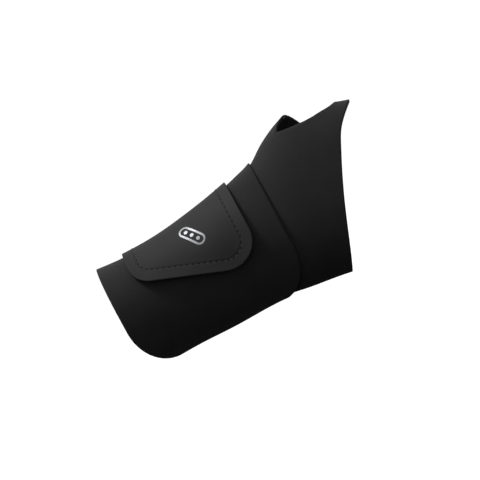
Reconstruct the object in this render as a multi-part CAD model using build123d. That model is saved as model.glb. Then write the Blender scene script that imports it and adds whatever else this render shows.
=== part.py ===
from build123d import *
import os
from math import acos, cos, degrees, radians, sin, sqrt

# A soft wrist splint for a right hand: a laminated neoprene gauntlet with a thumb hole, a wrap that goes
# round the wrist and closes on its own back with a hook tab, and a removable palm stay in a pocket.
# +X runs along the forearm towards the fingers, +Z is the thumb side, -Y is the back of the hand.
# The origin is the centre of the wrist. Millimetres.

# ---- driving dimensions ---------------------------------------------------------------------------------
SKIN = 0.25              # one knit layer of the laminate
FOAM = 1.0               # the foam between the two knit layers
LAMINATE = 2 * SKIN + FOAM
GAP = 0.3                # clearance between pieces that move apart

GAUNTLET_START = -66.0                 # the gauntlet's edge towards the elbow
GAUNTLET_HIDE = 3.5                    # how far its rounded corner stays under the wrap's
WRAP_START, WRAP_END = -70.0, 22.0     # the wrap panel's two straight edges
WRAP_SHOULDER = -11.0                  # height where those edges start to curve in
ANCHOR_GAP = 0.55                      # from the pocket's lip to the wrap's sewn edge on the palm side
STRAP_START, STRAP_END = -52.0, 6.8    # the strap's two edges
TAB_START = -55.0                      # the tab's edge towards the elbow, a little past the strap's

# the gauntlet's outer surface: place along the arm, then thumb-side, little-finger-side and back half widths
FORM_SPARE = 6.0         # how far the form runs on past the wrap and the knuckles
FORM = [
    (min(WRAP_START, GAUNTLET_START) - FORM_SPARE, 23.6, 31.7, 21.0),
    (-55.0, 21.8, 31.7, 20.8),
    (-27.0, 23.3, 31.7, 20.3),
    (6.0, 29.2, 31.7, 19.8),
    (22.0, 34.8, 33.9, 19.3),
    (34.0, 42.6, 35.6, 18.8),
    (48.5, 48.8, 38.0, 18.0),
    (62.0, 46.5, 39.5, 17.5),
    (75.0, 42.4, 40.5, 17.0),
    (90.0, 38.0, 41.0, 16.5),
]
PALM = 21.0              # the palm side's half width, the same all along, so that the stay lies straight
STATION_PITCH = 11.0     # spacing of the lofted sections

KNUCKLE_EDGE = [(85.5, 44.0), (71.8, 30.8), (65.5, 20.0), (55.1, -2.8), (43.8, -33.5), (39.5, -46.0)]
THUMB_RIM = [            # place along the arm and angle round the section from the thumb side, palm positive
    (41.7, -20), (47.6, -3), (52.0, 18), (57.0, 37), (62.0, 45), (67.0, 38),
    (72.0, 20), (74.6, 2), (71.0, -18), (60.0, -29.5), (50.0, -32), (43.4, -27),
]
THUMB_CENTRE = (58.0, 3.0, 20.0)       # the hole is cut square to the cloth, outwards from here
THUMB_TOP = 70.0                       # height that the cut reaches

HOOK = 0.5               # thickness of the hook patch
TAB = 1.2                # thickness of the tab
TAB_LOW_START, TAB_LOW_END = 9.4, -14.1   # heights where the slanted end meets the two edges
TAB_RADIUS_START, TAB_RADIUS_END = 11.6, 14.2
TAB_NECK = 17.0          # height of the join between the tab's neck and the strap, on the palm side
HOOK_INSET = 2.0         # from the tab's edge to the hook patch
HOOK_TOP = 24.0          # the hook patch ends this high, short of the fold

STITCH_INSET = 5.6       # from the tab's edge to its stitching
STITCH_LONG, STITCH_PITCH = 2.0, 3.2
STITCH_TOP_ANGLE = -20.0     # the tab's stitching shows from this angle round the section
ANCHOR_STITCH_ANGLE, NECK_STITCH_ANGLE, SEAM_ANGLE = 56.0, 44.0, 138.0
SEAM_END = 44.0              # where the gauntlet's closing seam ends, short of the knuckle edge
STITCH_STOP = 3.0            # the other rows stop this far from the cloth's edges
THREAD_WIDE, THREAD_HIGH = 0.5, 0.22

MARK_PLACE, MARK_HEIGHT = -19.5, 17.0     # the printed mark's middle
MARK_LONG, MARK_WIDE, MARK_LINE, MARK_LEAN = 16.0, 6.0, 1.0, -58.0
INK = 0.05

STAY_WIDE, STAY_THICK = 14.0, 0.8
STAY_START, STAY_END = -60.0, 47.0
TIP_LONG, TIP_WALL = 9.0, 0.2
SLIP = 0.15              # clearance of the stay in its pocket
POCKET_WALL = 0.6
POCKET_START, POCKET_END = -61.5, 50.0
POCKET_ROUND = 1.5
POCKET_LIP = 3.5         # flange of the pocket that is sewn down on each side

# ---- what follows from them -----------------------------------------------------------------------------
TIP_THICK = STAY_THICK + 2 * TIP_WALL
TIP_WIDE = STAY_WIDE + 2 * TIP_WALL
STAY_MIDDLE = PALM + SLIP + TIP_THICK / 2
POCKET_TOP = PALM + TIP_THICK + 2 * SLIP + POCKET_WALL
cavity_wide = TIP_WIDE + 2 * SLIP
pocket_wide = cavity_wide + 2 * POCKET_WALL
pocket_side = pocket_wide / 2 + POCKET_LIP
wrap_anchor = pocket_side + ANCHOR_GAP
FAR = 120.0              # longer than anything that is cut


def form_at(x):
    """The four half widths at x, (thumb side, little-finger side, back, palm), through FORM smoothly."""
    low = max(i for i in range(len(FORM) - 1) if i == 0 or FORM[i][0] <= x)
    before, here, there, after = (FORM[min(max(i, 0), len(FORM) - 1)] for i in range(low - 1, low + 3))
    span = there[0] - here[0]
    t = (x - here[0]) / span

    def value(k):
        slope_here = (there[k] - before[k]) / (there[0] - before[0]) * span
        slope_there = (after[k] - here[k]) / (after[0] - here[0]) * span
        return (
            here[k] * (2 * t**3 - 3 * t**2 + 1)
            + slope_here * (t**3 - 2 * t**2 + t)
            + there[k] * (3 * t**2 - 2 * t**3)
            + slope_there * (t**3 - t**2)
        )

    return value(1), value(2), value(3), PALM


def level(thumb, little=None, back=None, palm=None):
    """How far a surface stands off the gauntlet's outside at its four sides."""
    return tuple(thumb if v is None else v for v in (thumb, little, back, palm))


def raised(off, more):
    return tuple(v + more for v in off)


def place(x, angle, off):
    """A point of the surface: angle in degrees from the thumb side, positive round the palm."""
    thumb, little, back, palm = (w + v for w, v in zip(form_at(x), off))
    across, up = sin(radians(angle)), cos(radians(angle))
    return Vector(x, across * (palm if across > 0 else back), up * (thumb if up > 0 else little))


def solid_to(off):
    """The whole form, filled, with its surface off the gauntlet's outside by the four values of off."""
    first, last = FORM[0][0], FORM[-1][0]
    steps = round((last - first) / STATION_PITCH)
    sections = []
    for i in range(steps + 1):
        x = first + (last - first) * i / steps
        thumb, little, back, palm = (w + v for w, v in zip(form_at(x), off))
        quarters = [
            EllipticalCenterArc((0, 0), palm, thumb, 0, arc_size=90),
            EllipticalCenterArc((0, 0), back, thumb, 90, arc_size=90),
            EllipticalCenterArc((0, 0), back, little, 180, arc_size=90),
            EllipticalCenterArc((0, 0), palm, little, 270, arc_size=90),
        ]
        sections.append(Plane.YZ.offset(x) * make_face(Wire(quarters)))
    return loft(sections)


filled = {}


def layer(off, thick):
    """A shell of the form, thick outwards from off."""
    for key in (off, raised(off, thick)):
        if key not in filled:
            filled[key] = solid_to(key)
    return filled[raised(off, thick)] - filled[off]


def block(x0, x1, y0, y1, z0, z1):
    return Pos((x0 + x1) / 2, (y0 + y1) / 2, (z0 + z1) / 2) * Box(x1 - x0, y1 - y0, z1 - z0)


def prism(outline, y0, y1):
    """An outline in X and Z, run through from y0 to y1."""
    return extrude(Plane.XZ.offset(-y0) * outline, -(y1 - y0))


def laminate(name, off, region):
    """Lining, foam and face of one neoprene panel, from off outwards."""
    lining = layer(off, SKIN) & region
    foam = layer(raised(off, SKIN), FOAM) & region
    face = layer(raised(off, SKIN + FOAM), SKIN) & region
    return {name + "_lining": lining, name + "_foam": foam, name + "_face": face}


def stitches(path, off):
    """Thread showing on the surface off, along path, a list of (x, angle)."""
    boxes = []
    for (x0, a0), (x1, a1) in zip(path, path[1:]):
        start, end = place(x0, a0, off), place(x1, a1, off)
        along = end - start
        x, a = (x0 + x1) / 2, (a0 + a1) / 2
        middle = place(x, a, off)
        side = place(x, a + 0.5, off) - place(x, a - 0.5, off)
        down = place(x + 0.5, a, off) - place(x - 0.5, a, off)
        boxes.append(Plane(middle, x_dir=along, z_dir=side.cross(down)) * Box(STITCH_LONG, THREAD_WIDE, 3))
    return layer(off, THREAD_HIGH) & Compound(boxes)


parts = {}

# ---- gauntlet: a tube with a thumb hole, cut along the knuckles ------------------------------------------
low_z, high_z = KNUCKLE_EDGE[-1][1], FAR / 2
knuckles = Spline(*KNUCKLE_EDGE)
corner_x = STRAP_START + GAUNTLET_HIDE
corner_drop = WRAP_SHOULDER - place(corner_x, 180, level(0.0)).Z
corner_wide = corner_x - GAUNTLET_START
hand_outline = make_face(
    knuckles
    + Polyline(KNUCKLE_EDGE[-1], (corner_x, low_z), (corner_x, WRAP_SHOULDER - corner_drop))
    + EllipticalCenterArc((corner_x, WRAP_SHOULDER), corner_wide, corner_drop, 180, arc_size=90)
    + Polyline((GAUNTLET_START, WRAP_SHOULDER), (GAUNTLET_START, high_z),
               (KNUCKLE_EDGE[0][0], high_z), KNUCKLE_EDGE[0])
)
cone_outline = []
for x, angle in THUMB_RIM:
    rim = place(x, angle, level(0.0))
    grow = (THUMB_TOP - THUMB_CENTRE[2]) / (rim.Z - THUMB_CENTRE[2])
    cone_outline.append((THUMB_CENTRE[0] + (x - THUMB_CENTRE[0]) * grow,
                         THUMB_CENTRE[1] + (rim.Y - THUMB_CENTRE[1]) * grow, THUMB_TOP))
thumb_hole = loft([Vertex(*THUMB_CENTRE), make_face(Spline(*cone_outline, periodic=True))], ruled=True)
gauntlet_region = prism(hand_outline, -FAR, FAR) - thumb_hole
parts.update(laminate("gauntlet", level(-LAMINATE), gauntlet_region))

# ---- wrap panel: from its sewn edge on the palm, over the thumb side and the back, to the ulnar fold -----
ulna = -place(STRAP_START, 180, level(LAMINATE)).Z
shoulder_drop = ulna + WRAP_SHOULDER
panel_edge = (
    Polyline((WRAP_START, WRAP_SHOULDER), (WRAP_START, high_z), (WRAP_END, high_z), (WRAP_END, WRAP_SHOULDER))
    + EllipticalCenterArc((STRAP_END, WRAP_SHOULDER), WRAP_END - STRAP_END, shoulder_drop, 270, arc_size=90)
    + Polyline((STRAP_END, WRAP_SHOULDER - shoulder_drop), (STRAP_END, -high_z), (STRAP_START, -high_z),
               (STRAP_START, WRAP_SHOULDER - shoulder_drop))
    + EllipticalCenterArc(
        (STRAP_START, WRAP_SHOULDER), STRAP_START - WRAP_START, shoulder_drop, 180, arc_size=90
    )
)
panel_back = prism(make_face(panel_edge), -FAR, 0)
panel_palm = block(WRAP_START, WRAP_END, 0, FAR, wrap_anchor, high_z)
parts.update(laminate("wrap_panel", level(0.0), panel_back + panel_palm))

# ---- strap: the wrap's continuation round the palm, in two pieces that fold at the middle of the palm ----
thumb_rise = LAMINATE + GAP + HOOK
flat_half = pocket_wide / 2 - POCKET_ROUND      # the flat pocket's corners stay under the curved strap
narrowest = min(row[1] for row in FORM) + thumb_rise
palm_rise = (POCKET_TOP + GAP) / sqrt(1 - (flat_half / narrowest) ** 2) - PALM
strap_off = level(thumb_rise, little=GAP, back=thumb_rise, palm=palm_rise)
ulnar_side = block(STRAP_START, STRAP_END, GAP / 2, FAR, -high_z, -GAP / 2)
parts.update(laminate("ulnar_strap", strap_off, ulnar_side))
palm_side = block(STRAP_START, STRAP_END, GAP / 2, FAR, GAP / 2, TAB_NECK)
parts.update(laminate("palm_strap", strap_off, palm_side))

# ---- tab: its neck on the strap, its cover and backing over the back of the wrist ------------------------
neck_region = block(TAB_START, STRAP_END, GAP / 2, FAR, TAB_NECK, high_z)
parts["tab_neck"] = layer(strap_off, TAB) & neck_region
tab_off = level(thumb_rise)


def tab_outline(inset):
    """The tab's outline, seen square to the back of the wrist, drawn in by inset."""
    slant = (TAB_LOW_END - TAB_LOW_START) / (STRAP_END - TAB_START)
    drop = inset * (1 + slant**2) ** 0.5
    x0, x1 = TAB_START + inset, STRAP_END - inset
    z0 = TAB_LOW_START + slant * inset + drop
    z1 = TAB_LOW_END - slant * inset + drop
    return FilletPolyline(
        (x0, high_z), (x0, z0), (x1, z1), (x1, high_z),
        radius=[TAB_RADIUS_START - inset, TAB_RADIUS_END - inset],
    )


def tab_shape(inset, top):
    line = tab_outline(inset)
    outline = make_face(line + Line(line @ 1, line @ 0))
    return prism(outline, -FAR, -GAP / 2) & block(-FAR, FAR, -FAR, 0, -FAR, top)


tab_region = tab_shape(0.0, high_z)
parts["tab_backing"] = layer(tab_off, TAB - SKIN) & tab_region
parts["tab_cover"] = layer(raised(tab_off, TAB - SKIN), SKIN) & tab_region
parts["hook_patch"] = layer(raised(tab_off, -HOOK), HOOK) & tab_shape(HOOK_INSET, HOOK_TOP)

mark_ring = SlotOverall(MARK_LONG, MARK_WIDE)
mark_shape = mark_ring - SlotOverall(MARK_LONG - 2 * MARK_LINE, MARK_WIDE - 2 * MARK_LINE)
mark_shape += [Pos(d, 0) * Circle(MARK_LINE) for d in (-MARK_LONG / 4, 0, MARK_LONG / 4)]
mark_shape = Pos(MARK_PLACE, MARK_HEIGHT) * Rot(0, 0, MARK_LEAN) * mark_shape
parts["printed_mark"] = layer(raised(tab_off, TAB), INK) & prism(mark_shape, -FAR, -GAP / 2)

# ---- thread ---------------------------------------------------------------------------------------------
tab_top = raised(tab_off, TAB)


def angle_on_back(x, z, off):
    """The angle round the section of the point of the back at height z."""
    thumb, little, _, _ = (w + v for w, v in zip(form_at(x), off))
    return -degrees(acos(z / (thumb if z > 0 else little)))


stitch_line = tab_outline(STITCH_INSET)
tab_path = []
start_z = place(TAB_START + STITCH_INSET, STITCH_TOP_ANGLE, tab_top).Z
end_z = place(STRAP_END - STITCH_INSET, STITCH_TOP_ANGLE, tab_top).Z
stitch_count = int((stitch_line.length - 2 * high_z + start_z + end_z) / STITCH_PITCH)
first_at = (high_z - start_z) / stitch_line.length
last_at = 1 - (high_z - end_z) / stitch_line.length
for i in range(stitch_count + 1):
    p = stitch_line @ (first_at + (last_at - first_at) * i / stitch_count)
    tab_path.append((p.X, angle_on_back(p.X, p.Y, tab_top)))
parts["tab_stitching"] = stitches(tab_path, tab_top)


def straight_row(x0, x1, angle, off):
    """A row of stitches along the arm."""
    x0, x1 = x0 + STITCH_STOP, x1 - STITCH_STOP
    count = int((x1 - x0) / STITCH_PITCH)
    return stitches([(x0 + (x1 - x0) * i / count, angle) for i in range(count + 1)], off)


parts["wrap_panel_stitching"] = straight_row(WRAP_START, WRAP_END, ANCHOR_STITCH_ANGLE, level(LAMINATE))
parts["tab_neck_stitching"] = straight_row(STRAP_START, STRAP_END, NECK_STITCH_ANGLE, raised(strap_off, TAB))
seam_share = (WRAP_SHOULDER - place(GAUNTLET_START, SEAM_ANGLE, level(0.0)).Z) / corner_drop
seam_start = corner_x - corner_wide * sqrt(1 - seam_share**2)
parts["gauntlet_seam_stitching"] = straight_row(seam_start, SEAM_END, SEAM_ANGLE, level(0.0))


# ---- stay and its pocket, on the palm -------------------------------------------------------------------
def bar(x0, x1, wide, thick):
    """A flat bar with round ends, lying along the palm."""
    shape = Pos((x0 + x1) / 2, 0) * SlotOverall(x1 - x0, wide)
    return extrude(Plane.XZ.offset(-(STAY_MIDDLE - thick / 2)) * shape, -thick)


parts["palm_stay"] = bar(STAY_START + TIP_WALL, STAY_END - TIP_WALL, STAY_WIDE, STAY_THICK)
tips = bar(STAY_START, STAY_END, TIP_WIDE, TIP_THICK) - parts["palm_stay"]
parts["stay_tips"] = tips - block(STAY_START + TIP_LONG, STAY_END - TIP_LONG, 0, FAR, -FAR, FAR)

pocket_root = PALM / 2   # inside the gauntlet, which is then cut away
pocket = block(POCKET_START, POCKET_END, pocket_root, POCKET_TOP, -pocket_wide / 2, pocket_wide / 2)
pocket = fillet(pocket.edges().filter_by(Axis.X).sort_by(Axis.Y)[-2:], POCKET_ROUND)
pocket -= block(-FAR, STAY_END + SLIP, 0, POCKET_TOP - POCKET_WALL, -cavity_wide / 2, cavity_wide / 2)
lips = layer(level(0.0), POCKET_WALL) & block(POCKET_START, POCKET_END, 0, FAR, -pocket_side, pocket_side)
lips -= block(POCKET_START, POCKET_END, 0, FAR, -cavity_wide / 2, cavity_wide / 2)
parts["stay_pocket"] = (pocket - filled[level(0.0)]) + lips

# ---- fold lines of the wrap, printed for the record -----------------------------------------------------
neck_top = raised(strap_off, TAB)
fold_low = min(place(x, 180, raised(strap_off, LAMINATE)).Z for x in (STRAP_START, 0.0, STRAP_END))
print("ulnar fold", 0.0, GAP / 2, fold_low)
print("palm fold", 0.0, place(0, 90, raised(strap_off, LAMINATE)).Y, GAP / 2)
print("tab fold", place(TAB_START, 0, neck_top), place(STRAP_END, 0, neck_top))

os.makedirs("parts", exist_ok=True)
for name, shape in parts.items():
    print(name, round(shape.volume, 1), len(shape.solids()))
    export_step(shape, f"parts/{name}.step")
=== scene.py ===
import math

import bmesh
import bpy
from mathutils import Matrix, Vector
from mathutils.bvhtree import BVHTree


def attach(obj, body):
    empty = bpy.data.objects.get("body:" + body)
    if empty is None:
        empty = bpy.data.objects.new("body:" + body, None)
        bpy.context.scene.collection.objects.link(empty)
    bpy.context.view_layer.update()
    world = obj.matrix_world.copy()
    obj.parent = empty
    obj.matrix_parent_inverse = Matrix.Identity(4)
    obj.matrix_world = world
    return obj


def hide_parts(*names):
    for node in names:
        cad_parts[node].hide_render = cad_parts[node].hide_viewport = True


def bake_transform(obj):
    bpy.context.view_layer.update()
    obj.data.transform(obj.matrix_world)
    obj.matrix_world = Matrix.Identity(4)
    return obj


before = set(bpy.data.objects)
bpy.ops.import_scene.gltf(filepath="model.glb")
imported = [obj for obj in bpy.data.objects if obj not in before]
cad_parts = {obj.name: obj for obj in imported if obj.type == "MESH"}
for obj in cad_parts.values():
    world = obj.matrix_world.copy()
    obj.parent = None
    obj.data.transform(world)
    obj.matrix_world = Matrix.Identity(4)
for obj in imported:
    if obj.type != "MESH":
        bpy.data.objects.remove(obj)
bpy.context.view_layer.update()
bpy.ops.object.select_all(action="DESELECT")

# ---- Hand gauntlet ----------------------------------------------------------------------------------------
# A tube of neoprene laminate, knit on both faces with foam between, that covers the forearm's end and the
# back of the hand. It is cut from one flat piece and closed along the palm, with raw edges and a thumb hole.
mm = 0.001
skin, foam = 0.25, 1.0
laminate = skin * 2 + foam
form = [   # place along the arm, then how far the thumb side, little-finger side and back stand out, in mm
    (-76.0, 23.6, 31.7, 21.0),
    (-55.0, 21.8, 31.7, 20.8),
    (-27.0, 23.3, 31.7, 20.3),
    (6.0, 29.2, 31.7, 19.8),
    (22.0, 34.8, 33.9, 19.3),
    (34.0, 42.6, 35.6, 18.8),
    (48.5, 48.8, 38.0, 18.0),
    (62.0, 46.5, 39.5, 17.5),
    (75.0, 42.4, 40.5, 17.0),
    (90.0, 38.0, 41.0, 16.5),
]
palm_half = 21.0
little_half = 31.7      # the little-finger side's half width where it is straight
dip_at, dip_wide, dip_deep = 20.5, 5, 0.32    # where the wrap's edge presses in, deepest at the thumb side


def fair(points, at, column=1):
    """A smooth curve through points, whose first column is the place along it, read in one other column."""
    low = max(i for i in range(len(points) - 1) if i == 0 or points[i][0] <= at)
    a, b, c, d = (points[min(max(i, 0), len(points) - 1)] for i in range(low - 1, low + 3))
    span = c[0] - b[0]
    t = (at - b[0]) / span
    slope_b = (c[column] - a[column]) / (c[0] - a[0]) * span
    slope_c = (d[column] - b[column]) / (d[0] - b[0]) * span
    return (b[column] * (2 * t**3 - 3 * t**2 + 1) + slope_b * (t**3 - 2 * t**2 + t)
            + c[column] * (3 * t**2 - 2 * t**3) + slope_c * (t**3 - t**2))


def half_widths(x):
    """How far the gauntlet stands off the arm's line at x: thumb side, little finger, back, palm."""
    return fair(form, x, 1), fair(form, x, 2), fair(form, x, 3), palm_half


def ripple(x, angle):
    """The slight unevenness of cloth stretched over a wrist, and the dip where the wrap's edge presses in."""
    a = math.radians(angle)
    short_waves = 0.22 * math.sin(x / 8.3 + 1.7 * math.sin(a)) * math.sin(2 * a + x / 31)
    long_waves = 0.16 * math.sin(3 * a + x / 13 + 0.8) * math.cos(x / 21)
    dip = dip_deep * math.exp(-((x - dip_at) / dip_wide)**2) * (1 + math.cos(a))
    return short_waves + long_waves - dip


def lay(x, angle, off):
    """The point at x and angle round the arm (0 is the thumb side, positive round the palm), in metres,
    standing off the gauntlet's outside by off at its four sides."""
    thumb, little, back, palm = (w + o for w, o in zip(half_widths(x), off))
    a = math.radians(angle)
    across, up = math.sin(a), math.cos(a)
    wide = palm if across > 0 else back
    high = thumb if up > 0 else little
    r = ripple(x, angle)
    return Vector((x, across * (wide + r), up * (high + r))) * mm


def even(off):
    """The same stand-off at all four sides."""
    return (off, off, off, off)


def cut_cloth(name, columns, rows, spot, long, wide):
    """A flat cut of cloth whose every point (s, t), in shares of its length and width, lies at spot(s, t)."""
    bpy.ops.mesh.primitive_grid_add(x_subdivisions=columns, y_subdivisions=rows, size=1)
    cloth = bpy.context.active_object
    cloth.name = cloth.data.name = name
    shares = [(v.co.x + 0.5, v.co.y + 0.5) for v in cloth.data.vertices]
    weave = cloth.data.uv_layers.active or cloth.data.uv_layers.new(name="cloth")
    weave.name = "cloth"
    for loop in cloth.data.loops:
        s, t = shares[loop.vertex_index]
        weave.data[loop.index].uv = (s * long, t * wide)
    for v, (s, t) in zip(cloth.data.vertices, shares):
        v.co = spot(s, t)
    bpy.ops.object.select_all(action="DESELECT")
    return cloth, shares


def face_out(cloth):
    """Turns the cloth's faces away from the arm's line."""
    outward = sum(p.normal.y * p.center.y + p.normal.z * p.center.z for p in cloth.data.polygons)
    if outward < 0:
        bpy.context.view_layer.objects.active = cloth
        bpy.ops.object.mode_set(mode="EDIT")
        bpy.ops.mesh.select_all(action="SELECT")
        bpy.ops.mesh.flip_normals()
        bpy.ops.object.mode_set(mode="OBJECT")


def thicken(cloth, thick):
    """Gives the cloth its thickness inwards: face, lining and cut edge are its three materials."""
    bpy.ops.object.select_all(action="DESELECT")
    cloth.select_set(True)
    bpy.context.view_layer.objects.active = cloth
    wall = cloth.modifiers.new("laminate", "SOLIDIFY")
    wall.thickness, wall.offset = thick * mm, -1
    wall.material_offset, wall.material_offset_rim = 1, 2
    wall.edge_crease_outer = wall.edge_crease_inner = 0.6
    bpy.ops.object.modifier_apply(modifier=wall.name)
    soft = cloth.modifiers.new("soft", "SUBSURF")
    soft.levels = soft.render_levels = 1
    bpy.ops.object.modifier_apply(modifier=soft.name)
    bpy.ops.object.shade_smooth()
    cloth.select_set(False)


gauntlet_start = -66.0
round_off_from, round_off_to = -11.0, -48.5   # height where the rounding starts, place where it ends
knuckle_edge = [(-46.0, 39.5), (-33.5, 43.8), (-2.8, 55.1), (20.0, 65.5), (30.8, 71.8), (44.0, 85.5)]
thumb_rim = [
    (41.7, -20), (47.6, -3), (52.0, 18), (57.0, 37), (62.0, 45), (67.0, 38),
    (72.0, 20), (74.6, 2), (71.0, -18), (60.0, -29.5), (50.0, -32), (43.4, -27),
]


def knuckles_at(angle):
    """The knuckle edge's place along the arm at an angle round it."""
    x = 60.0
    for _ in range(12):
        x = fair(knuckle_edge, lay(x, angle, even(0)).z / mm)
    return x


gauntlet_seam = 138.0
seam_gap = -0.08     # degrees: the cut edges are pressed together


def cuff_at(angle):
    """The cuff's edge at an angle round the arm: straight, then rounded off towards the little finger."""
    x = gauntlet_start
    for _ in range(4):
        z = lay(x, angle, even(0)).z / mm
        share = min(1.0, max(0.0, (round_off_from - z) / (little_half + round_off_from)))
        x = round_off_to + (gauntlet_start - round_off_to) * math.sqrt(1 - share**2)
    return x


gauntlet_columns, gauntlet_rows = 96, 66
gauntlet_off = even(-0.05)


def gauntlet_angle(s):
    """The angle round the arm at a share of the gauntlet's girth, from one cut edge to the other."""
    return gauntlet_seam + seam_gap + (360 - 2 * seam_gap) * s


def on_gauntlet(s, t):
    angle = gauntlet_angle(s)
    x_start, x_end = cuff_at(angle), knuckles_at(angle)
    return lay(x_start + (x_end - x_start) * t, angle, gauntlet_off)


def rim_curve(steps=240):
    """The thumb hole's edge as (x, angle) points, smooth and closed."""
    count = len(thumb_rim)
    curve = []
    for i in range(steps):
        k, u = divmod(i * count / steps, 1)
        a, b, c, d = (thumb_rim[(int(k) + j) % count] for j in (-1, 0, 1, 2))
        curve.append(tuple(
            0.5 * (2 * b[n] + (c[n] - a[n]) * u + (2 * a[n] - 5 * b[n] + 4 * c[n] - d[n]) * u**2
                   + (3 * b[n] - a[n] - 3 * c[n] + d[n]) * u**3) for n in (0, 1)))
    return curve


gauntlet, shares = cut_cloth("gauntlet_cloth", gauntlet_columns, gauntlet_rows, on_gauntlet, 0.19, 0.145)
rim_flat = rim_curve()
rim = [lay(x, a, gauntlet_off) for x, a in rim_flat]
hole_middle, hole_reach = Vector((0.058, 0.003, 0.04)), 0.03
hole_first, hole_last = 0.036, 0.0775     # the hole's ends along the arm, short of the knuckle edge
on_rim, by_rim = 0.004, 0.006             # what is this near is pulled on to the rim, or evened out


def inside_rim(x, angle):
    """Whether (x, angle) lies in the thumb hole."""
    hit = False
    for (x0, a0), (x1, a1) in zip(rim_flat, rim_flat[1:] + rim_flat[:1]):
        if (a0 > angle) != (a1 > angle) and x < (x1 - x0) * (angle - a0) / (a1 - a0) + x0:
            hit = not hit
    return hit


def rim_distance(v):
    """How far a vertex is from the thumb hole's edge."""
    return min((v.co - p).length for p in rim)


shell = bmesh.new()
shell.from_mesh(gauntlet.data)
shell.verts.ensure_lookup_table()
in_hole = []
for v, (s, t) in zip(shell.verts, shares):
    angle = gauntlet_angle(s)
    angle -= 360 if angle > 180 else 0
    in_hole.append(v.co.x > 0.035 and v.co.z > 0.015 and inside_rim(v.co.x / mm, angle))
gone = [f for f in shell.faces if sum(in_hole[v.index] for v in f.verts) >= 2]
bmesh.ops.delete(shell, geom=gone, context="FACES")
bmesh.ops.delete(shell, geom=[v for v in shell.verts if not v.link_faces], context="VERTS")
edge = {v for v in shell.verts
        if v.is_boundary and v.co.z > 0.02 and (v.co - hole_middle).length < hole_reach
        and hole_first < v.co.x < hole_last and rim_distance(v) < on_rim}
for v in edge:
    v.co = min(rim, key=lambda p: (p - v.co).length).copy()
near = {v for v in shell.verts if v not in edge and rim_distance(v) < by_rim and not v.is_boundary}
for _ in range(6):
    moved = {v: sum((e.other_vert(v).co for e in v.link_edges), Vector()) / len(v.link_edges) for v in near}
    for v, to in moved.items():
        v.co = v.co.lerp(to, 0.5)
shell.to_mesh(gauntlet.data)
shell.free()
face_out(gauntlet)


def shader(name, colour, rough, sheen=0.0, metal=0.0):
    """A plain principled finish, with the sockets that stay the same all over set on it."""
    finish = bpy.data.materials.new(name)
    finish.use_nodes = True
    main = finish.node_tree.nodes["Principled BSDF"]
    main.inputs["Base Color"].default_value = (*colour, 1)
    main.inputs["Roughness"].default_value = rough
    main.inputs["Metallic"].default_value = metal
    main.inputs["Sheen Weight"].default_value = sheen
    main.inputs["Sheen Roughness"].default_value = 0.45
    main.inputs["Specular IOR Level"].default_value = 0.10
    return finish, finish.node_tree, main


def sums(tree, kind, a, b=None, clamp=False):
    """One step of arithmetic between sockets or numbers."""
    node = tree.nodes.new("ShaderNodeMath")
    node.operation, node.use_clamp = kind, clamp
    for socket, value in zip(node.inputs, (a, b)):
        if isinstance(value, (int, float)):
            socket.default_value = value
        elif value is not None:
            tree.links.new(value, socket)
    return node.outputs[0]


def mottle(tree, main, colour, size, depth):
    """Faint unevenness of the dye, patches of size metres."""
    place = tree.nodes.new("ShaderNodeTexCoord")
    cloud = tree.nodes.new("ShaderNodeTexNoise")
    cloud.inputs["Scale"].default_value = 1 / size
    cloud.inputs["Detail"].default_value = 4
    ramp = tree.nodes.new("ShaderNodeValToRGB")
    ramp.color_ramp.elements[0].position, ramp.color_ramp.elements[1].position = 0.3, 0.7
    ramp.color_ramp.elements[0].color = (*[c * (1 - depth) for c in colour], 1)
    ramp.color_ramp.elements[1].color = (*[c * (1 + depth) for c in colour], 1)
    tree.links.new(place.outputs["Object"], cloud.inputs["Vector"])
    tree.links.new(cloud.outputs["Fac"], ramp.inputs["Fac"])
    tree.links.new(ramp.outputs["Color"], main.inputs["Base Color"])
    return place


def raise_from(tree, main, height, depth):
    """Relief in the finish, depth metres for each unit of height."""
    bump = tree.nodes.new("ShaderNodeBump")
    bump.inputs["Distance"].default_value = depth
    bump.inputs["Strength"].default_value = 1.0
    tree.links.new(height, bump.inputs["Height"])
    tree.links.new(bump.outputs["Normal"], main.inputs["Normal"])


def knit(name, colour, pitch, depth, rough, sheen, fuzz=0.0):
    """Jersey knit: columns of small chevrons that follow the cut of the cloth, with loose fibres on them."""
    finish, tree, main = shader(name, colour, rough, sheen)
    mottle(tree, main, colour, 0.018, 0.12)
    weave = tree.nodes.new("ShaderNodeUVMap")
    weave.uv_map = "cloth"
    split = tree.nodes.new("ShaderNodeSeparateXYZ")
    tree.links.new(weave.outputs["UV"], split.inputs[0])
    column = sums(tree, "FRACT", sums(tree, "DIVIDE", split.outputs["Y"], pitch))
    lean = sums(tree, "ABSOLUTE", sums(tree, "SUBTRACT", column, 0.5))
    row = sums(tree, "ADD", sums(tree, "DIVIDE", split.outputs["X"], pitch * 0.8), lean)
    yarn = sums(tree, "SINE", sums(tree, "MULTIPLY", row, 2 * math.pi))
    groove = sums(tree, "SINE", sums(tree, "MULTIPLY", column, math.pi))
    height = sums(tree, "MULTIPLY", sums(tree, "ADD", sums(tree, "MULTIPLY", yarn, 0.5), 0.5), groove)
    fibre = tree.nodes.new("ShaderNodeTexNoise")
    fibre.inputs["Scale"].default_value = 2600
    fibre.inputs["Detail"].default_value = 3
    spot = tree.nodes.new("ShaderNodeTexCoord")
    tree.links.new(spot.outputs["Object"], fibre.inputs["Vector"])
    height = sums(tree, "ADD", height, sums(tree, "MULTIPLY", fibre.outputs["Fac"], 0.35 + fuzz))
    raise_from(tree, main, height, depth)
    return finish


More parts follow.
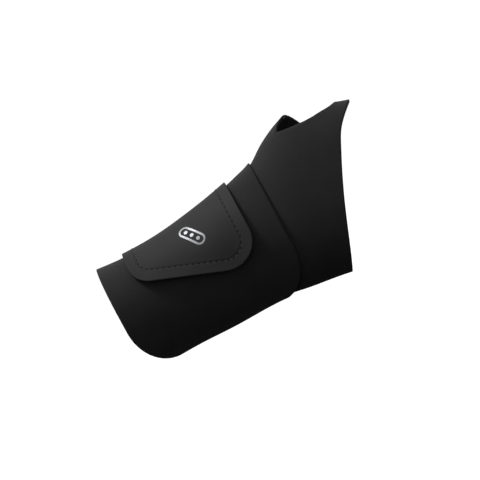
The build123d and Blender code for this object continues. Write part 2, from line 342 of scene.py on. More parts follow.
def foam_edge(name, colour):
    """The raw edge of the laminate: closed-cell foam between two thin lines of knit."""
    finish, tree, main = shader(name, colour, 0.8)
    spot = mottle(tree, main, colour, 0.004, 0.25)
    cells = tree.nodes.new("ShaderNodeTexVoronoi")
    cells.inputs["Scale"].default_value = 5200
    tree.links.new(spot.outputs["Object"], cells.inputs["Vector"])
    raise_from(tree, main, cells.outputs["Distance"], 0.00006)
    return finish


black = (0.0080, 0.0080, 0.0083)
face_finish = knit("face_knit", black, 0.00042, 0.00005, 0.78, 0.03)
lining_finish = knit("lining_knit", (0.012, 0.012, 0.0124), 0.0006, 0.00008, 0.85, 0.03)
edge_finish = foam_edge("foam_core", (0.0045, 0.0045, 0.0046))
for finish in (face_finish, lining_finish, edge_finish):
    gauntlet.data.materials.append(finish)
thicken(gauntlet, laminate - 0.05)
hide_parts("gauntlet_face", "gauntlet_foam", "gauntlet_lining")
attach(gauntlet, "gauntlet")

# ---- Closing seam of the gauntlet -------------------------------------------------------------------------
# The gauntlet's two cut edges meet on the palm and are joined edge to edge by a flat zigzag of polyester
# thread, so that nothing stands up under the wrap.


def thread_finish(name, colour):
    """Spun polyester: fine turns across each stitch and a faint gloss."""
    finish, tree, main = shader(name, colour, 0.6, 0.02)
    place = mottle(tree, main, colour, 0.002, 0.2)
    twist = tree.nodes.new("ShaderNodeTexWave")
    twist.bands_direction = "DIAGONAL"
    twist.inputs["Scale"].default_value = 1300
    twist.inputs["Distortion"].default_value = 1.5
    tree.links.new(place.outputs["Object"], twist.inputs["Vector"])
    raise_from(tree, main, twist.outputs["Fac"], 0.00004)
    return finish


thread_black = thread_finish("thread", (0.0022, 0.0022, 0.0023))
stitch_sides, stitch_rings = 6, 7


def one_stitch():
    """A single stitch, one unit long along X: thin where it dives into the cloth, full in its middle."""
    bpy.ops.mesh.primitive_cylinder_add(vertices=stitch_sides, radius=0.5, depth=1, end_fill_type="TRIFAN")
    stitch = bpy.context.active_object
    bpy.ops.object.mode_set(mode="EDIT")
    bpy.ops.mesh.select_all(action="DESELECT")
    bpy.ops.object.mode_set(mode="OBJECT")
    for e in stitch.data.edges:
        ends = [stitch.data.vertices[i].co for i in e.vertices]
        e.select = abs(ends[0].z - ends[1].z) > 0.9
    bpy.ops.object.mode_set(mode="EDIT")
    bpy.ops.mesh.select_mode(type="EDGE")
    bpy.ops.mesh.subdivide(number_cuts=stitch_rings - 2)
    bpy.ops.mesh.select_all(action="SELECT")
    bpy.ops.transform.rotate(value=math.pi / 2, orient_axis="Y", center_override=(0, 0, 0))
    bpy.ops.object.mode_set(mode="OBJECT")
    bpy.ops.object.transform_apply(location=True, rotation=True, scale=True)
    for v in stitch.data.vertices:
        share = min(1.0, abs(v.co.x) * 2)
        plump = math.sqrt(max(0.0, 1 - share**2.4)) * 0.75 + 0.25
        v.co.y *= plump
        v.co.z = v.co.z * plump - 0.9 * share**3
    bpy.ops.object.select_all(action="DESELECT")
    return stitch


stitch_model = one_stitch()


def settle(point, out, surface, lift=0.0):
    """The point moved along out on to the cloth's own face, or lift metres above it."""
    above, reach = 0.0015, 0.004
    hit = surface.ray_cast(point + out * above, -out, reach)[0]
    return (hit if hit else point) + out * lift


def surface_of(piece):
    """The piece's faces, in a form that rays can be cast at."""
    faces = bmesh.new()
    faces.from_mesh(piece.data)
    surface = BVHTree.FromBMesh(faces)
    faces.free()
    return surface


def sew(name, stitches, thick, finish, surface):
    """One thread of many stitches, each (start, end, outward direction), thick millimetres across."""
    row = bmesh.new()
    for start, end, out in stitches:
        start, end = settle(start, out, surface), settle(end, out, surface)
        along = end - start
        ahead = along.normalized()
        side = out.cross(ahead).normalized()
        top = ahead.cross(side).normalized()
        middle = (start + end) / 2
        place = Matrix((
            (ahead.x * along.length, side.x * thick * mm, top.x * thick * mm, middle.x),
            (ahead.y * along.length, side.y * thick * mm, top.y * thick * mm, middle.y),
            (ahead.z * along.length, side.z * thick * mm, top.z * thick * mm, middle.z),
            (0, 0, 0, 1)))
        before = len(row.verts)
        row.from_mesh(stitch_model.data)
        row.verts.ensure_lookup_table()
        for v in row.verts[before:]:
            v.co = place @ v.co
    mesh = bpy.data.meshes.new(name)
    row.to_mesh(mesh)
    row.free()
    thread = bpy.data.objects.new(name, mesh)
    bpy.context.collection.objects.link(thread)
    thread.data.materials.append(finish)
    thread.data.polygons.foreach_set("use_smooth", [True] * len(thread.data.polygons))
    return thread


def outwards(x, angle, off):
    """The direction straight out of the cloth."""
    here = lay(x, angle, off)
    side = lay(x, angle + 0.5, off) - lay(x, angle - 0.5, off)
    down = lay(x + 0.5, angle, off) - lay(x - 0.5, angle, off)
    out = side.cross(down).normalized()
    return out if out.dot(Vector((0, here.y, here.z))) > 0 else -out


def zigzag(x0, x1, angle, off, half, step=1.5):
    """Zigzag stitches over a joint that runs along the arm, half degrees to either side of it."""
    row, flip, x = [], 1, x0
    while x + step <= x1:
        row.append((lay(x, angle - flip * half, off), lay(x + step, angle + flip * half, off),
                    outwards(x, angle, off)))
        x += step
        flip = -flip
    return row


fine_thread = 0.42      # millimetres across
seam_first, seam_last = cuff_at(gauntlet_seam) + 1.5, knuckles_at(gauntlet_seam) - 0.5
seam_stitches = zigzag(seam_first, seam_last, gauntlet_seam, even(0.04), 5.2)
gauntlet_thread = sew("gauntlet_seam_thread", seam_stitches, fine_thread, thread_black, surface_of(gauntlet))
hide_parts("gauntlet_seam_stitching")
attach(gauntlet_thread, "gauntlet")

# ---- Wrist wrap -------------------------------------------------------------------------------------------
# The second layer, which gives the grip: the same laminate with a brushed loop face for the hooks to hold.
# It is sewn to the gauntlet on the palm, runs over the thumb side and the back, and narrows to the strap.
wrap_start, wrap_end, wrap_shoulder = -70.0, 22.0, -11.0
wrap_anchor_angle = 57.0
strap_start, strap_end = -52.0, 6.8
strap_join_angle = -225.0
rise_over = 25.0      # degrees past the little finger over which the strap lifts off
palm_stand, thumb_stand, clear = 3.29, 2.3, 0.3    # how far the strap's inside stands off, with its clearance
wrap_wide = (wrap_end - wrap_start) * mm


def rise(t):
    """A soft step from 0 to 1."""
    t = min(1.0, max(0.0, t))
    return t * t * (3 - 2 * t)


def wrap_off(angle):
    """How far the wrap's outside stands off the gauntlet: flat on it, then over the stay across the palm."""
    if angle >= -180:
        return even(laminate)
    k = rise((-180 - angle) / rise_over)
    return (thumb_stand + laminate, laminate + clear * k, laminate, palm_stand + laminate)


def wrap_edges(angle):
    """The wrap's two edges at an angle round the arm: straight, then curving in towards the little finger."""
    if angle <= -180:
        return strap_start, strap_end
    edges = []
    for straight, narrow in ((wrap_start, strap_start), (wrap_end, strap_end)):
        x = straight
        for _ in range(6):
            z = lay(x, angle, wrap_off(angle)).z / mm
            share = min(1.0, max(0.0, (wrap_shoulder - z) / (little_half + laminate + wrap_shoulder)))
            x = narrow + (straight - narrow) * math.sqrt(1 - share**2) if angle < -90 else straight
        edges.append(x)
    return edges


def angles_between(first, last, off_at, count, x=-20.0):
    """Angles from first to last, an even distance apart along the cloth."""
    fine = 400
    turn = [first + (last - first) * i / fine for i in range(fine + 1)]
    run = [0.0]
    for a, b in zip(turn, turn[1:]):
        run.append(run[-1] + (lay(x, b, off_at(b)) - lay(x, a, off_at(a))).length)
    spaced, k = [], 0
    for i in range(count + 1):
        goal = run[-1] * i / count
        while k < fine - 1 and run[k + 1] < goal:
            k += 1
        spaced.append(turn[k] + (turn[k + 1] - turn[k]) * (goal - run[k]) / (run[k + 1] - run[k]))
    return spaced, run[-1]


wrap_columns, wrap_rows = 78, 46
wrap_angles, wrap_long = angles_between(wrap_anchor_angle, strap_join_angle, wrap_off, wrap_columns)
wrap_sides = [wrap_edges(a) for a in wrap_angles]


def on_wrap(s, t):
    i = round(s * wrap_columns)
    low, high = wrap_sides[i]
    return lay(low + (high - low) * t, wrap_angles[i], wrap_off(wrap_angles[i]))


wrap, _ = cut_cloth("wrist_wrap", wrap_columns, wrap_rows, on_wrap, wrap_long, wrap_wide)
face_out(wrap)
loop_finish = knit("loop_face", black, 0.0005, 0.00006, 0.86, 0.05, fuzz=0.5)
for finish in (loop_finish, lining_finish, edge_finish):
    wrap.data.materials.append(finish)
thicken(wrap, laminate - 0.06)
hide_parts("wrap_panel_face", "wrap_panel_foam", "wrap_panel_lining",
            "ulnar_strap_face", "ulnar_strap_foam", "ulnar_strap_lining")
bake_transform(wrap)

# ---- Stitching that anchors the wrap ----------------------------------------------------------------------
# Two rows of lockstitch through wrap and gauntlet, along the wrap's first edge on the palm side of the thumb.


def straight_stitches(x0, x1, angle, off, long=2.1, pitch=3.0):
    """A row of lockstitch along the arm."""
    count = int((x1 - x0 - long) / pitch)
    row = []
    for i in range(count + 1):
        x = x0 + pitch * i
        row.append((lay(x, angle, off), lay(x + long, angle, off), outwards(x + long / 2, angle, off)))
    return row


anchor_rows = []
for angle in (52.5, 47.5):
    anchor_rows += straight_stitches(wrap_start + 2.5, wrap_end - 2.5, angle, even(laminate + 0.05))
anchor_thread = sew("wrap_anchor_thread", anchor_rows, fine_thread, thread_black, surface_of(wrap))
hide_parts("wrap_panel_stitching")
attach(anchor_thread, "gauntlet")

# ---- Palm strap -------------------------------------------------------------------------------------------
# The wrap's narrow end, across the palm to the thumb side. It is a second length of the same loop laminate,
# joined edge to edge to the wide one so that both can be cut with the stretch running round the wrist.
tab_thick = 1.2
neck_angle = 46.0


strap_off = (thumb_stand + laminate, laminate + clear, laminate, palm_stand + laminate)
strap_columns, strap_rows = 30, 32
join_angle = strap_join_angle + 360
strap_angles, strap_long = angles_between(join_angle, neck_angle, lambda a: strap_off, strap_columns)


def on_strap(s, t):
    x = strap_start + (strap_end - strap_start) * t
    return lay(x, strap_angles[round(s * strap_columns)], strap_off)


strap_wide = (strap_end - strap_start) * mm
strap, _ = cut_cloth("palm_strap_cloth", strap_columns, strap_rows, on_strap, strap_long, strap_wide)
face_out(strap)
for finish in (loop_finish, lining_finish, edge_finish):
    strap.data.materials.append(finish)
thicken(strap, laminate - 0.06)
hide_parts("palm_strap_face", "palm_strap_foam", "palm_strap_lining")
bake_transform(strap)

join_edge, join_half = 0.8, 3.6      # millimetres short of the strap's edges, degrees to either side
join_stitches = zigzag(strap_start + join_edge, strap_end - join_edge, join_angle, strap_off, join_half)
join_thread = sew("strap_join_thread", join_stitches, fine_thread, thread_black, surface_of(strap))
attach(join_thread, "ulnar_strap")

# ---- Closing tab ------------------------------------------------------------------------------------------
# A rounded tab of smooth charcoal fabric on a stiff backing. Its neck is joined to the strap's end, it folds
# over the thumb side and grips the wrap on the back of the wrist. Its end is cut on a slant.
tab_start = -55.0
low_first, low_last = 9.4, -14.1          # height of the slanted end at the tab's two sides
round_first, round_last = 11.6, 14.2      # and the radius of its two corners
slant = (low_last - low_first) / (strap_end - tab_start)
top_z = 60.0      # above everything


def tab_outline(inset, per_arc=24):
    """The tab's outline seen square to the back of the wrist, drawn in by inset, from side to side."""
    drop = inset * math.sqrt(1 + slant**2)
    x0, x1 = tab_start + inset, strap_end - inset
    z0 = low_first + slant * inset + drop
    lean = math.atan(slant)
    points = [(x0, top_z)]
    for inner, r, first, last in (
        (1, round_first - inset, math.pi, 1.5 * math.pi + lean),
        (-1, round_last - inset, 1.5 * math.pi + lean, 2 * math.pi),
    ):
        centre_x = (x0 if inner > 0 else x1) + inner * r
        centre_z = z0 + slant * (centre_x - x0) + r * math.sqrt(1 + slant**2)
        turns = [first + (last - first) * i / per_arc for i in range(per_arc + 1)]
        points += [(centre_x + r * math.cos(a), centre_z + r * math.sin(a)) for a in turns]
    return points + [(x1, top_z)]


def lowest_at(outline, x):
    """The height of the outline's lower side at x."""
    for (x0, z0), (x1, z1) in zip(outline[1:-1], outline[2:-1]):
        if x0 <= x <= x1 and x1 > x0:
            return z0 + (z1 - z0) * (x - x0) / (x1 - x0)
    return outline[1][1] if x <= outline[1][0] else outline[-2][1]


def back_angle(x, z, off):
    """The angle round the arm of the point of the back at height z."""
    thumb, little = half_widths(x)[:2]
    return -math.degrees(math.acos(max(-1, min(1, z / ((thumb if z > 0 else little) + off)))))


tab_top = thumb_stand + tab_thick
tab_outer = (tab_top, tab_top, tab_top, palm_stand + tab_thick)
tab_columns, tab_rows = 52, 44
border_lift, border_wide = 1.4, 7.5      # outside the stitching the border springs a little off the wrap
edge_line = tab_outline(0.0)


def across(t, low, high):
    """Places across the tab, closer together towards its sides where its corners turn."""
    crowded = 0.82
    turn = math.sin(math.pi * (t - 0.5))
    return (low + high) / 2 + (high - low) / 2 * (crowded * turn + (1 - crowded) * (2 * t - 1))


tab_grid = {}
for j in range(tab_columns + 1):
    x = across(j / tab_columns, tab_start, strap_end)
    tip = back_angle(x, lowest_at(edge_line, x), tab_top)
    tab_grid[j] = (x, angles_between(neck_angle, tip, lambda a: tab_outer, tab_rows, x)[0])


def on_tab(s, t):
    x, spaced = tab_grid[round(t * tab_columns)]
    return lay(x, spaced[round(s * tab_rows)], tab_outer)


tab, _ = cut_cloth("closing_tab", tab_rows, tab_columns, on_tab, 0.064, 0.063)
face_out(tab)


def from_edge(p):
    """How far a point of the tab is from its cut edge, in millimetres."""
    x, z = p.x / mm, p.z / mm if p.y < 0 else top_z / 2
    best = 99.0
    for (x0, z0), (x1, z1) in zip(edge_line, edge_line[1:]):
        dx, dz = x1 - x0, z1 - z0
        k = max(0, min(1, ((x - x0) * dx + (z - z0) * dz) / (dx * dx + dz * dz)))
        best = min(best, math.hypot(x - x0 - k * dx, z - z0 - k * dz))
    return best


margin = tab.data.attributes.new("margin", "FLOAT", "POINT")
margin.data.foreach_set("value", [from_edge(v.co) for v in tab.data.vertices])
for v in tab.data.vertices:
    free = rise((-2 - v.co.y / mm) / 8)      # only on the back of the wrist
    curl = max(0.0, 1 - margin.data[v.index].value / border_wide)
    v.co += Vector((0, -1, 0)) * border_lift * mm * free * curl**1.6

charcoal = (0.0105, 0.0105, 0.0110)
stitch_inset, dent_wide = 5.6, 1.1
tab_finish, tree, main = shader("tab_fabric", charcoal, 0.72)
spot = mottle(tree, main, charcoal, 0.014, 0.10)
grain = tree.nodes.new("ShaderNodeTexNoise")
grain.inputs["Scale"].default_value = 1900
grain.inputs["Detail"].default_value = 5
tree.links.new(spot.outputs["Object"], grain.inputs["Vector"])
inset_now = tree.nodes.new("ShaderNodeAttribute")
inset_now.attribute_name = "margin"
away = sums(tree, "ABSOLUTE", sums(tree, "SUBTRACT", inset_now.outputs["Fac"], stitch_inset))
dent = sums(tree, "SUBTRACT", 1.0, sums(tree, "DIVIDE", away, dent_wide, clamp=True), clamp=True)
dent = sums(tree, "MULTIPLY", sums(tree, "MULTIPLY", dent, dent), -1.0)
height = sums(tree, "ADD", sums(tree, "MULTIPLY", grain.outputs["Fac"], 0.06), dent)
raise_from(tree, main, height, 0.00022)
backing_finish = knit("tab_backing", (0.012, 0.012, 0.0125), 0.0007, 0.00006, 0.9, 0.03, fuzz=0.8)
tab_edge_finish = foam_edge("tab_edge", (0.006, 0.006, 0.0062))
for finish in (tab_finish, backing_finish, tab_edge_finish):
    tab.data.materials.append(finish)
thicken(tab, tab_thick)
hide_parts("tab_cover", "tab_backing", "tab_neck")
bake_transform(tab)

# ---- Stitching round the tab and at its neck --------------------------------------------------------------
# Black lockstitch that holds cover, backing and hook patch together, a little inside the cut edge, and a
# zigzag that joins the neck edge to edge to the strap.


def along_path(spots, off, long, pitch):
    """Stitches of one length at an even pitch along (x, angle) spots."""
    points = [lay(x, a, off) for x, a in spots]
    run = [0.0]
    for p, q in zip(points, points[1:]):
        run.append(run[-1] + (q - p).length)

    def at(distance):
        k = 0
        while k < len(run) - 2 and run[k + 1] < distance:
            k += 1
        share = (distance - run[k]) / (run[k + 1] - run[k])
        (x0, a0), (x1, a1) = spots[k], spots[k + 1]
        return x0 + (x1 - x0) * share, a0 + (a1 - a0) * share

    row, distance = [], 0.0
    while distance + long * mm < run[-1]:
        start, middle, end = (at(distance + k * long * mm) for k in (0, 0.5, 1))
        row.append((lay(*start, off), lay(*end, off), outwards(*middle, off)))
        distance += pitch * mm
    return row


def round_the_tab(inset, off):
    """(x, angle) spots along the tab's edge, drawn in by inset, from its neck round the tip and back."""
    line = tab_outline(inset)
    from_neck = [neck_angle - 5 - i for i in range(200)]
    first_x, first_z = line[1]
    last_x, last_z = line[-2]
    first_tip, last_tip = back_angle(first_x, first_z, off), back_angle(last_x, last_z, off)
    tip = []
    for (x0, z0), (x1, z1) in zip(line[1:-1], line[2:-1]):
        for i in range(6):
            x, z = x0 + (x1 - x0) * i / 6, z0 + (z1 - z0) * i / 6
            tip.append((x, back_angle(x, z, off)))
    tip.append((last_x, last_tip))
    first_side = [(first_x, angle) for angle in from_neck if angle > first_tip]
    last_side = [(last_x, angle) for angle in from_neck if angle > last_tip]
    return first_side + tip + last_side[::-1]


stitch_long, stitch_pitch = 1.9, 2.9
tab_rounds = along_path(round_the_tab(stitch_inset, tab_top), tab_outer, stitch_long, stitch_pitch)
tab_surface = surface_of(tab)
tab_thread = sew("tab_thread", tab_rounds, 0.62, thread_black, tab_surface)
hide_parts("tab_stitching")
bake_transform(tab_thread)
neck_rows = zigzag(strap_start + join_edge, strap_end - join_edge, neck_angle, tab_outer, join_half)
neck_rows += along_path([(x, neck_angle - 7) for x in range(int(tab_start) + 7, int(strap_end) - 4)],
                        tab_outer, stitch_long, stitch_pitch)
neck_thread = sew("tab_neck_thread", neck_rows, fine_thread, thread_black, tab_surface)
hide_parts("tab_neck_stitching")
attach(neck_thread, "palm_strap")

# ---- Hook patch -------------------------------------------------------------------------------------------
# The gripping side of the tab: a moulded plastic strip with rows of small bent hooks, sewn under the tab and
# stopping short of the fold so that the tab can turn.
hook_inset, hook_top, hook_base = 2.0, 24.0, 0.18
hook_face = thumb_stand - 0.01
hook_line = tab_outline(hook_inset)
hook_off = even(hook_face)
hook_columns, hook_rows = 44, 26
hook_grid = {}
for j in range(hook_columns + 1):
    x = across(j / hook_columns, tab_start + hook_inset, strap_end - hook_inset)
    tip = back_angle(x, lowest_at(hook_line, x), thumb_stand)
    top = back_angle(x, min(hook_top, half_widths(x)[0] - 0.6), thumb_stand)
    hook_grid[j] = (x, [top + (tip - top) * i / hook_rows for i in range(hook_rows + 1)])


def on_patch(s, t):
    x, spaced = hook_grid[round(t * hook_columns)]
    return lay(x, spaced[round(s * hook_rows)], hook_off)


patch, _ = cut_cloth("hook_patch_strip", hook_rows, hook_columns, on_patch, 0.034, 0.059)
face_out(patch)
hook_black = (0.022, 0.022, 0.023)
hook_finish, tree, main = shader("hook_plastic", hook_black, 0.42)
spot = mottle(tree, main, hook_black, 0.01, 0.1)
cast = tree.nodes.new("ShaderNodeTexNoise")
cast.inputs["Scale"].default_value = 900
tree.links.new(spot.outputs["Object"], cast.inputs["Vector"])
raise_from(tree, main, cast.outputs["Fac"], 0.00003)
for _ in range(3):
    patch.data.materials.append(hook_finish)
thicken(patch, hook_base)
hook_pitch, hook_tall = 1.35, 0.34
bpy.ops.mesh.primitive_cone_add(
    vertices=5, radius1=0.13 * mm, radius2=0.08 * mm, depth=hook_tall * mm, end_fill_type="NOTHING")
hook_model = bpy.context.active_object
bpy.ops.object.mode_set(mode="EDIT")
bpy.ops.mesh.select_all(action="DESELECT")
bpy.ops.object.mode_set(mode="OBJECT")
for v in hook_model.data.vertices:
    v.select = v.co.z > 0
bpy.ops.object.mode_set(mode="EDIT")
for lean, sink, shrink in ((0.09, 0.05, 0.9), (0.11, -0.02, 0.8), (0.06, -0.08, 0.6)):
    bpy.ops.mesh.extrude_region_move(TRANSFORM_OT_translate={"value": (lean * mm, 0, sink * mm)})
    bpy.ops.transform.resize(value=(shrink, shrink, shrink))
bpy.ops.mesh.edge_face_add()
bpy.ops.object.mode_set(mode="OBJECT")
bpy.ops.object.select_all(action="DESELECT")
under = even(hook_face - hook_base)
hooks = bmesh.new()
line = 0
x = tab_start + hook_inset + 1.2
while x < strap_end - hook_inset - 1.0:
    top = min(hook_top, half_widths(x)[0] - 1.0)
    z = top - 1.0 - (line % 2) * hook_pitch / 2
    while z > lowest_at(hook_line, x) + 1.2:
        angle = back_angle(x, z, thumb_stand)
        root = lay(x, angle, under)
        inward = -outwards(x, angle, under)
        side = Vector((1, 0, 0)) if line % 2 else Vector((-1, 0, 0))
        side = (side - inward * side.dot(inward)).normalized()
        third = inward.cross(side)
        place = Matrix((side, third, inward)).transposed().to_4x4()
        place.translation = root + inward * (hook_tall / 2 - 0.05) * mm
        before = len(hooks.verts)
        hooks.from_mesh(hook_model.data)
        hooks.verts.ensure_lookup_table()
        for v in hooks.verts[before:]:
            v.co = place @ v.co
        z -= hook_pitch * max(0.35, abs(outwards(x, angle, under).y))
    x += hook_pitch
    line += 1
hook_mesh = bpy.data.meshes.new("hook_field")
hooks.to_mesh(hook_mesh)
hooks.free()
hook_field = bpy.data.objects.new("hook_field", hook_mesh)
bpy.context.collection.objects.link(hook_field)
hook_field.data.materials.append(hook_finish)
hook_field.data.polygons.foreach_set("use_smooth", [True] * len(hook_field.data.polygons))
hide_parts("hook_patch")
for piece in (patch, hook_field):
    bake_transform(piece)

# ---- Printed mark -----------------------------------------------------------------------------------------
# A plain silver transfer on the tab: three dots in a long ring, set at a slant across the arm.
mark_x, mark_z, mark_lean = -19.5, 17.0, math.radians(-58)
mark_long, mark_wide, mark_line = 16.0, 6.0, 1.0
longest_edge, print_thick = 0.8, 0.00005


def along_tab(x, climb):
    """The angle round the arm that lies climb millimetres up the cloth from the mark's middle."""
    middle = back_angle(mark_x, mark_z, tab_top)
    low, high = middle - 40, middle + 40
    for _ in range(24):
        angle = (low + high) / 2
        reach = (lay(x, angle, tab_outer) - lay(x, middle, tab_outer)).length / mm
        low, high = (angle, high) if math.copysign(reach, angle - middle) < climb else (low, angle)
    return angle


def print_on(name, outline, holes=()):
    """A flat print with a rounded outline, laid on the tab."""
    flat = bmesh.new()
    rings = []
    for ring in (outline, *holes):
        rings.append([flat.verts.new((u, w, 0)) for u, w in ring])
    if holes:
        outer, inner = rings
        for i in range(len(outer)):
            j = (i + 1) % len(outer)
            flat.faces.new((outer[i], outer[j], inner[j], inner[i]))
    else:
        flat.faces.new(rings[0])
    for _ in range(5):
        bmesh.ops.triangulate(flat, faces=flat.faces[:])
        long_edges = [e for e in flat.edges if e.calc_length() > longest_edge]
        bmesh.ops.subdivide_edges(flat, edges=long_edges, cuts=1)
    for v in flat.verts:
        u, w = v.co.x, v.co.y
        px = mark_x + u * math.cos(mark_lean) - w * math.sin(mark_lean)
        pz = mark_z + u * math.sin(mark_lean) + w * math.cos(mark_lean)
        angle = along_tab(px, pz - mark_z)
        v.co = settle(lay(px, angle, tab_outer), outwards(px, angle, tab_outer), tab_surface, print_thick)
    mesh = bpy.data.meshes.new(name)
    flat.to_mesh(mesh)
    flat.free()
    return mesh


def capsule(long, wide, steps=14):
    """The outline of a long ring."""
    r, half = wide / 2, (long - wide) / 2
    turns = [math.pi * (i / steps - 0.5) for i in range(steps + 1)]
    right = [(half + r * math.cos(a), r * math.sin(a)) for a in turns]
    left = [(-half - r * math.cos(a), -r * math.sin(a)) for a in turns]
    return right + left


def disc(u, r, steps=24):
    """The outline of a dot."""
    turns = [2 * math.pi * i / steps for i in range(steps)]
    return [(u + r * math.cos(a), r * math.sin(a)) for a in turns]


inner_ring = capsule(mark_long - 2 * mark_line, mark_wide - 2 * mark_line)
print_meshes = [print_on("mark_ring", capsule(mark_long, mark_wide), (inner_ring,))]
print_meshes += [print_on("mark_dot", disc(u, mark_line)) for u in (-mark_long / 4, 0, mark_long / 4)]
together = bmesh.new()
for mesh in print_meshes:
    together.from_mesh(mesh)
bmesh.ops.recalc_face_normals(together, faces=together.faces[:])
for f in together.faces:
    if f.normal.y > 0:
        f.normal_flip()
mark_mesh = bpy.data.meshes.new("printed_mark_film")
together.to_mesh(mark_mesh)
together.free()
mark = bpy.data.objects.new("printed_mark_film", mark_mesh)
bpy.context.collection.objects.link(mark)
silver = (0.15, 0.153, 0.16)
silver_finish, tree, main = shader("silver_print", silver, 0.38, metal=0.6)
mottle(tree, main, silver, 0.0016, 0.22)
mark.data.materials.append(silver_finish)
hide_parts("printed_mark")
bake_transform(mark)

# ---- Stay pocket ------------------------------------------------------------------------------------------
# A strip of woven tape sewn down along both sides and its far end on the palm of the gauntlet, open towards
# the elbow, which makes the channel that the stay slides into.
pocket_start, pocket_end = -61.5, 50.0
pocket_half, pocket_lip, pocket_wall = 8.15, 3.5, 0.6
tip_thick, stay_slack = 1.2, 0.3
pocket_top = palm_half + tip_thick + stay_slack + pocket_wall
pocket_side = pocket_half + pocket_lip
pocket_long, pocket_wide = 0.1115, 0.0235
pocket_columns, pocket_rows = 62, 24


def on_pocket(s, t):
    x = pocket_start + (pocket_end - pocket_start) * s
    z = pocket_side * (2 * t - 1)
    thumb, little = half_widths(x)[:2]
    angle = math.degrees(math.acos(z / (thumb if z > 0 else little)))
    flat = lay(x, angle, even(pocket_wall + 0.05))
    up = rise((pocket_half + 1.1 - abs(z)) / 2.2) * rise((pocket_end - 0.3 - x) / 3.0)
    return Vector((flat.x, flat.y + (pocket_top * mm + 0.00012 - flat.y) * up, flat.z))


pocket, _ = cut_cloth("stay_pocket_tape", pocket_columns, pocket_rows, on_pocket, pocket_long, pocket_wide)
face_out(pocket)
tape_black = (0.017, 0.017, 0.0175)
rib_pitch, rung_pitch = 0.0008, 0.0005
tape_finish, tree, main = shader("pocket_knit", tape_black, 0.7, 0.15)
mottle(tree, main, tape_black, 0.01, 0.1)
weave = tree.nodes.new("ShaderNodeUVMap")
weave.uv_map = "cloth"
split = tree.nodes.new("ShaderNodeSeparateXYZ")
tree.links.new(weave.outputs["UV"], split.inputs[0])
slantwise = sums(tree, "ADD", split.outputs["X"], split.outputs["Y"])
rib = sums(tree, "SINE", sums(tree, "MULTIPLY", slantwise, 2 * math.pi / rib_pitch))
rung = sums(tree, "SINE", sums(tree, "MULTIPLY", split.outputs["Y"], 2 * math.pi / rung_pitch))
raise_from(tree, main, sums(tree, "ADD", rib, sums(tree, "MULTIPLY", rung, 0.4)), 0.00004)
for _ in range(3):
    pocket.data.materials.append(tape_finish)
thicken(pocket, pocket_wall - 0.06)
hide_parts("stay_pocket")
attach(pocket, "gauntlet")

pocket_line = pocket_side - 1.3
pocket_spots = []
for z, xs in ((-pocket_line, range(-60, 49)), (pocket_line, range(48, -61, -1))):
    for x in xs:
        pocket_spots.append((x, -back_angle(x, z, pocket_wall)))
pocket_thread = sew("pocket_thread", along_path(pocket_spots, even(pocket_wall), 2.0, 3.0), 0.4, thread_black,
                    surface_of(pocket))
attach(pocket_thread, "gauntlet")

# ---- Palm stay --------------------------------------------------------------------------------------------
# A flat aluminium strip with round ends, brushed along its length, and black vinyl tips dipped over both
# ends so that they can't cut the pocket.
metal_finish, tree, main = shader("stay_metal", (0.62, 0.63, 0.65), 0.34, metal=1.0)
spot = tree.nodes.new("ShaderNodeTexCoord")
stretch = tree.nodes.new("ShaderNodeMapping")
stretch.inputs["Scale"].default_value = (12, 900, 900)
brush = tree.nodes.new("ShaderNodeTexNoise")
brush.inputs["Scale"].default_value = 4
brush.inputs["Detail"].default_value = 6
tree.links.new(spot.outputs["Object"], stretch.inputs["Vector"])
tree.links.new(stretch.outputs["Vector"], brush.inputs["Vector"])
streaks = tree.nodes.new("ShaderNodeValToRGB")
streaks.color_ramp.elements[0].position, streaks.color_ramp.elements[1].position = 0.35, 0.65
streaks.color_ramp.elements[0].color = (0.55, 0.56, 0.58, 1)
streaks.color_ramp.elements[1].color = (0.85, 0.86, 0.88, 1)
tree.links.new(brush.outputs["Fac"], streaks.inputs["Fac"])
tree.links.new(streaks.outputs["Color"], main.inputs["Base Color"])
raise_from(tree, main, brush.outputs["Fac"], 0.00003)
vinyl_black = (0.022, 0.022, 0.022)
vinyl_finish, tree, main = shader("tip_plastic", vinyl_black, 0.35)
spot = mottle(tree, main, vinyl_black, 0.006, 0.15)
skin_bump = tree.nodes.new("ShaderNodeTexNoise")
skin_bump.inputs["Scale"].default_value = 500
tree.links.new(spot.outputs["Object"], skin_bump.inputs["Vector"])
raise_from(tree, main, skin_bump.outputs["Fac"], 0.00004)
for node, finish in (("palm_stay", metal_finish), ("stay_tips", vinyl_finish)):
    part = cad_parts[node]
    part.data.materials.clear()
    part.data.materials.append(finish)

for spare in (stitch_model, hook_model):
    bpy.data.objects.remove(spare)

# ---- Floor, light and camera ------------------------------------------------------------------------------
# A wide pale floor well below the splint, a white sky that fades out below the horizon, a lamp over the
# thumb side and a weak one behind the palm, so that the little-finger side falls away into shade. A long
# lens, square to the back of the wrist, is turned so that the forearm rises to the right.
bpy.ops.mesh.primitive_plane_add(size=80, location=(0, 0, -0.16))
floor = bpy.context.active_object
floor.name = "floor"
bpy.ops.object.transform_apply(location=True, rotation=True, scale=True)
floor.data.materials.append(shader("pale_floor", (0.93, 0.93, 0.93), 0.8)[0])
floor.visible_diffuse = False
floor.visible_glossy = False
bpy.ops.object.select_all(action="DESELECT")

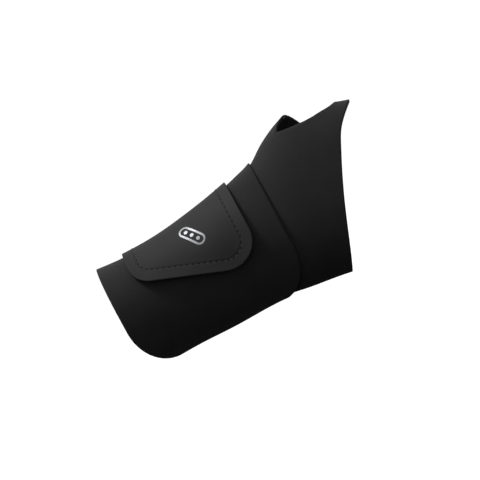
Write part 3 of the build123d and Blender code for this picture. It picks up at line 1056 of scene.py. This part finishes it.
world = bpy.context.scene.world or bpy.data.worlds.new("studio")
bpy.context.scene.world = world
world.use_nodes = True
sky = world.node_tree
direction = sky.nodes.new("ShaderNodeTexCoord")
parts_of = sky.nodes.new("ShaderNodeSeparateXYZ")
glow = sky.nodes.new("ShaderNodeMapRange")
glow.interpolation_type = "SMOOTHSTEP"
glow.inputs["From Min"].default_value = -0.40
glow.inputs["From Max"].default_value = 0.0
glow.inputs["To Min"].default_value = 0.0
glow.inputs["To Max"].default_value = 1.06
sky.links.new(direction.outputs["Generated"], parts_of.inputs[0])
sky.links.new(parts_of.outputs["Z"], glow.inputs["Value"])
sky.links.new(glow.outputs["Result"], sky.nodes["Background"].inputs["Strength"])
sky.nodes["Background"].inputs["Color"].default_value = (1, 1, 1, 1)


def soft_light(name, place, power, size):
    """A square lamp that faces the splint."""
    lamp = bpy.data.lights.new(name, "AREA")
    lamp.energy, lamp.size = power, size
    light = bpy.data.objects.new(name, lamp)
    bpy.context.collection.objects.link(light)
    light.location = place
    light.rotation_euler = (-Vector(place)).to_track_quat("-Z", "Y").to_euler()


soft_light("key", (-0.45, -0.30, 1.3), 26, 0.25)
soft_light("palm_fill", (0.3, 1.2, -0.1), 14, 0.7)
sun_lamp = bpy.data.lights.new("overhead", "SUN")
sun_lamp.energy, sun_lamp.angle = 0.6, math.radians(40)
sun = bpy.data.objects.new("overhead", sun_lamp)
bpy.context.collection.objects.link(sun)
sun.rotation_euler = (math.radians(20), math.radians(-15), 0)

tilt = math.radians(28)
right = Vector((math.cos(tilt), 0, -math.sin(tilt)))
up = Vector((math.sin(tilt), 0, math.cos(tilt)))
lens = bpy.data.cameras.new("camera")
lens.lens = 150
lens.clip_end = 50
camera = bpy.data.objects.new("camera", lens)
bpy.context.collection.objects.link(camera)
camera.matrix_world = Matrix((
    (right.x, up.x, 0, 0.0003),
    (right.y, up.y, -1, -1.0),
    (right.z, up.z, 0, 0.0037),
    (0, 0, 0, 1)))
bpy.context.scene.camera = camera
bpy.context.scene.view_settings.view_transform = "Standard"
